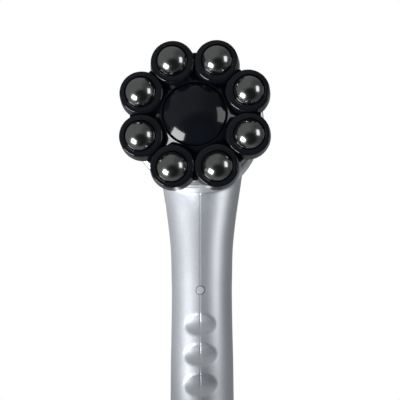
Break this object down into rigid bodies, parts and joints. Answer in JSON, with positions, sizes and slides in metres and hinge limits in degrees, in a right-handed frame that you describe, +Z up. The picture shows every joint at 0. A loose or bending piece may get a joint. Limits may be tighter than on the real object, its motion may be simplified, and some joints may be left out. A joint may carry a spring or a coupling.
{
  "type": "body massager",
  "caption": "Upright hand-held body massager: a motor-driven flower of rolling balls round a domed centre on a drum, on a round grip with finger hollows.",
  "frame": {"origin": "centre of the flat underside of the foot pad, on the handle's axis", "axes": "+Z up along the handle, -Y the way the balls face, +X to the right seen from the front"},
  "size_m": [0.1162, 0.1338, 0.3221],
  "materials": {
    "silver_paint": "satin",
    "black_gloss": "polished",
    "dark_plating": "polished",
    "steel": "satin",
    "bronze": "satin",
    "gear_plastic": "satin",
    "dark_plastic": "matte",
    "felt": "matte",
    "board": "satin",
    "cell_wrap": "satin",
    "magnet": "matte",
    "rubber": "matte",
    "lens": "gloss",
    "lead_red": "satin",
    "lead_black": "satin"
  },
  "bodies": {
    "handle": {"base_cap": "silver_paint", "battery_cell_1": "cell_wrap", "battery_cell_2": "cell_wrap", "battery_lead_black": "lead_black", "battery_lead_red": "lead_red", "battery_tray": "dark_plastic", "cell_link": "steel", "charging_socket": "dark_plastic", "control_board": "board", "cover_screw_1": "steel", "cover_screw_2": "steel", "cover_screw_3": "steel", "drum_housing": "silver_paint", "dust_seal": "felt", "foot_pad": "rubber", "front_bush": "bronze", "gearbox_cover": "dark_plastic", "handle_shell_left": "silver_paint", "handle_shell_right": "silver_paint", "idler_pin": "steel", "indicator_lamp": "lens", "indicator_lens": "lens", "motor_can": "steel", "motor_end_cap": "gear_plastic", "motor_lead_black": "lead_black", "motor_lead_red": "lead_red", "motor_magnet": "magnet", "motor_screw_1": "steel", "motor_screw_2": "steel", "rear_bush": "bronze", "shell_screw_1": "steel", "shell_screw_2": "steel", "shell_screw_3": "steel", "shell_screw_4": "steel", "switch_body": "dark_plastic"},
    "carrier": {"carrier_front": "black_gloss", "carrier_back": "black_gloss", "centre_dome": "black_gloss", "spindle": "steel", "spindle_screw": "steel", "spindle_clip": "steel", "output_gear": "gear_plastic", "cross_pin": "steel", "carrier_screw_1": "steel", "carrier_screw_2": "steel", "carrier_screw_3": "steel", "carrier_screw_4": "steel"},
    "ball_1": {"ball_1": "dark_plating"},
    "ball_2": {"ball_2": "dark_plating"},
    "ball_3": {"ball_3": "dark_plating"},
    "ball_4": {"ball_4": "dark_plating"},
    "ball_5": {"ball_5": "dark_plating"},
    "ball_6": {"ball_6": "dark_plating"},
    "ball_7": {"ball_7": "dark_plating"},
    "ball_8": {"ball_8": "dark_plating"},
    "idler": {"idler_gear": "gear_plastic"},
    "rotor": {"rotor": "steel", "motor_pinion": "bronze"},
    "slider": {"speed_knob": "black_gloss"}
  },
  "joints": [
    {"name": "carrier_spin", "type": "hinge", "parent": "handle", "child": "carrier", "pos_m": [0, -0.08, 0.264], "axis": [0, -1, 0], "continuous": true},
    {"name": "ball_1_roll", "type": "hinge", "parent": "carrier", "child": "ball_1", "pos_m": [0.04158, -0.092, 0.28122], "axis": [0.9239, 0, 0.3827], "continuous": true},
    {"name": "ball_2_roll", "type": "hinge", "parent": "carrier", "child": "ball_2", "pos_m": [0.01722, -0.092, 0.30557], "axis": [0.3827, 0, 0.9239], "continuous": true},
    {"name": "ball_3_roll", "type": "hinge", "parent": "carrier", "child": "ball_3", "pos_m": [-0.01722, -0.092, 0.30557], "axis": [-0.3827, 0, 0.9239], "continuous": true},
    {"name": "ball_4_roll", "type": "hinge", "parent": "carrier", "child": "ball_4", "pos_m": [-0.04158, -0.092, 0.28122], "axis": [-0.9239, 0, 0.3827], "continuous": true},
    {"name": "ball_5_roll", "type": "hinge", "parent": "carrier", "child": "ball_5", "pos_m": [-0.04158, -0.092, 0.24678], "axis": [-0.9239, 0, -0.3827], "continuous": true},
    {"name": "ball_6_roll", "type": "hinge", "parent": "carrier", "child": "ball_6", "pos_m": [-0.01722, -0.092, 0.22243], "axis": [-0.3827, 0, -0.9239], "continuous": true},
    {"name": "ball_7_roll", "type": "hinge", "parent": "carrier", "child": "ball_7", "pos_m": [0.01722, -0.092, 0.22243], "axis": [0.3827, 0, -0.9239], "continuous": true},
    {"name": "ball_8_roll", "type": "hinge", "parent": "carrier", "child": "ball_8", "pos_m": [0.04158, -0.092, 0.24678], "axis": [0.9239, 0, -0.3827], "continuous": true},
    {"name": "idler_spin", "type": "hinge", "parent": "handle", "child": "idler", "pos_m": [0.01745, -0.05, 0.2396], "axis": [0, -1, 0], "continuous": true},
    {"name": "rotor_spin", "type": "hinge", "parent": "handle", "child": "rotor", "pos_m": [0, -0.02, 0.244], "axis": [0, -1, 0], "continuous": true},
    {"name": "speed_slide", "type": "slide", "parent": "handle", "child": "slider", "axis": [0, 0, 1], "range_m": [0, 0.012]}
  ],
  "couplings": [
    {"joint": "idler_spin", "follows": "carrier_spin", "ratio": -4},
    {"joint": "rotor_spin", "follows": "carrier_spin", "ratio": 14}
  ]
}
